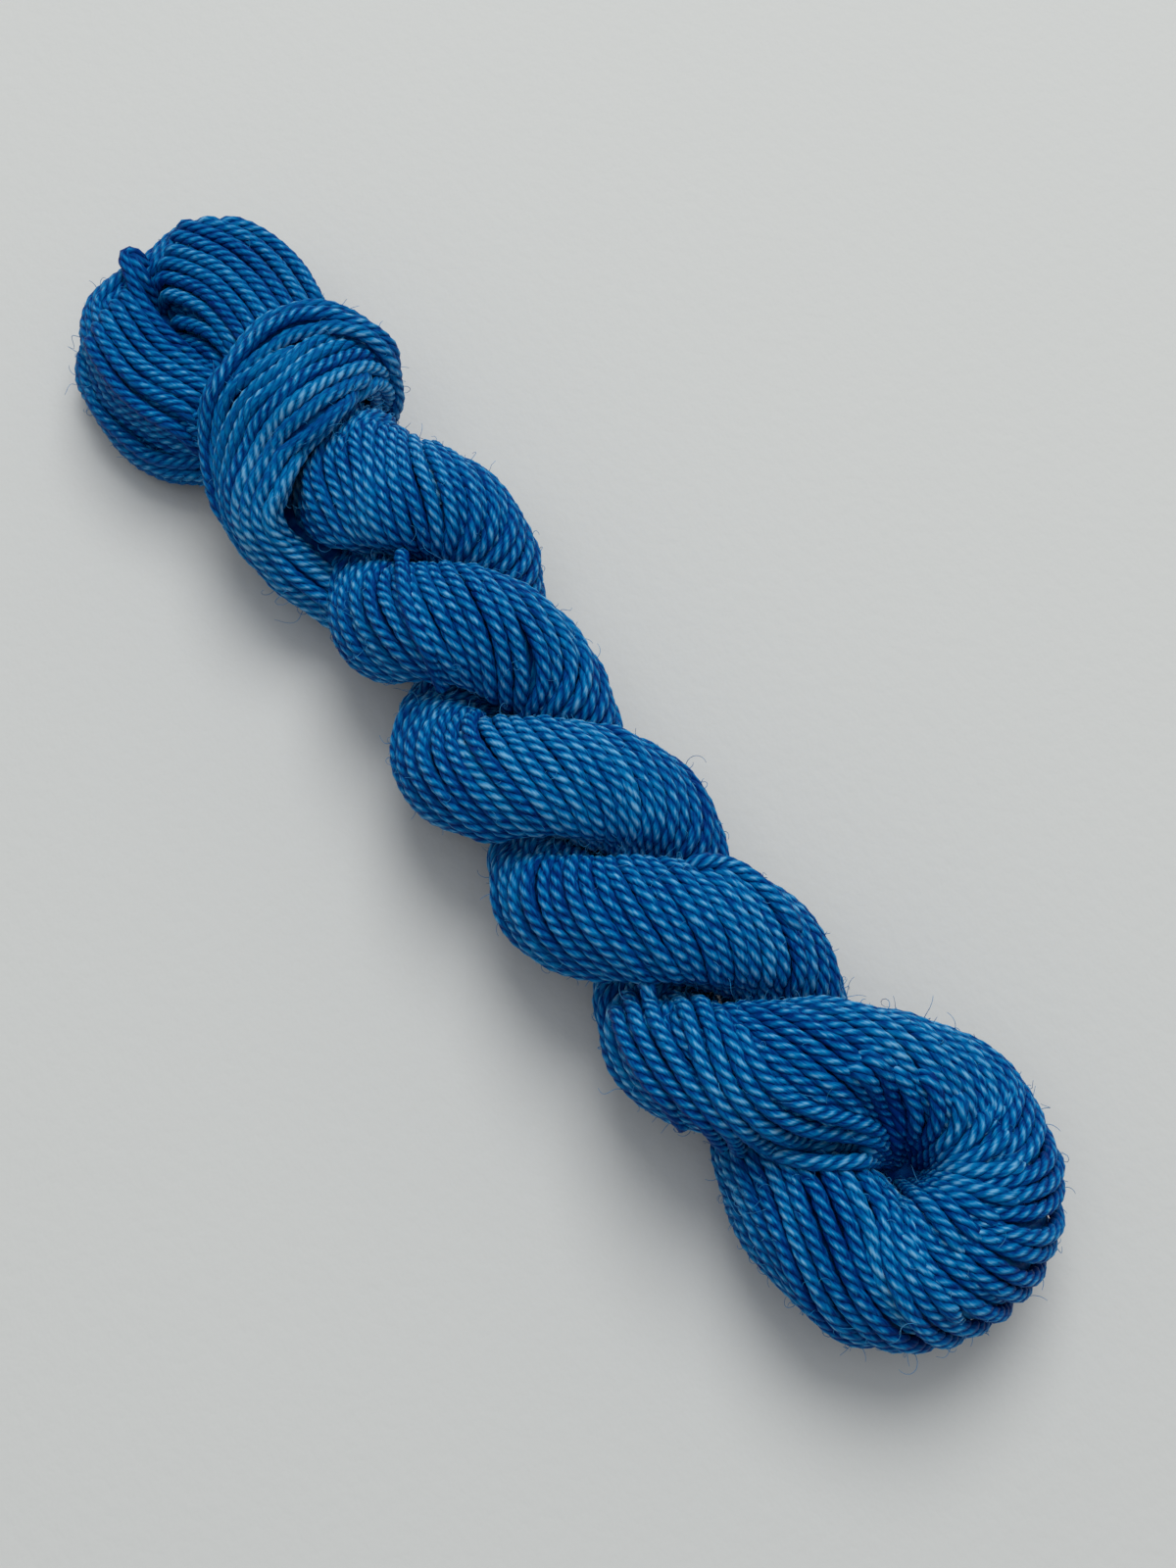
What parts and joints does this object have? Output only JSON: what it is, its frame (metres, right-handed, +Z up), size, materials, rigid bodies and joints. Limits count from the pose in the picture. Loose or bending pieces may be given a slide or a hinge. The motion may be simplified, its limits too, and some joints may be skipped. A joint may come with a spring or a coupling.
{
  "type": "thread hank",
  "caption": "Twisted hank of needlepoint thread lying flat: a skein folded and wound round itself like a rope, one end loop wrapped round the neck, the other sticking out as a tail.",
  "frame": {"origin": "middle of the hank's bounding box, at its base on the surface it lies on", "axes": "+X along the hank towards the fold, away from the tail; +Y across it; +Z up from the surface"},
  "size_m": [0.1034, 0.023, 0.0151],
  "materials": {
    "thread": "plied thread with a soft silky sheen, azure blue"
  },
  "bodies": {
    "root": {"hank": "thread"}
  },
  "joints": []
}
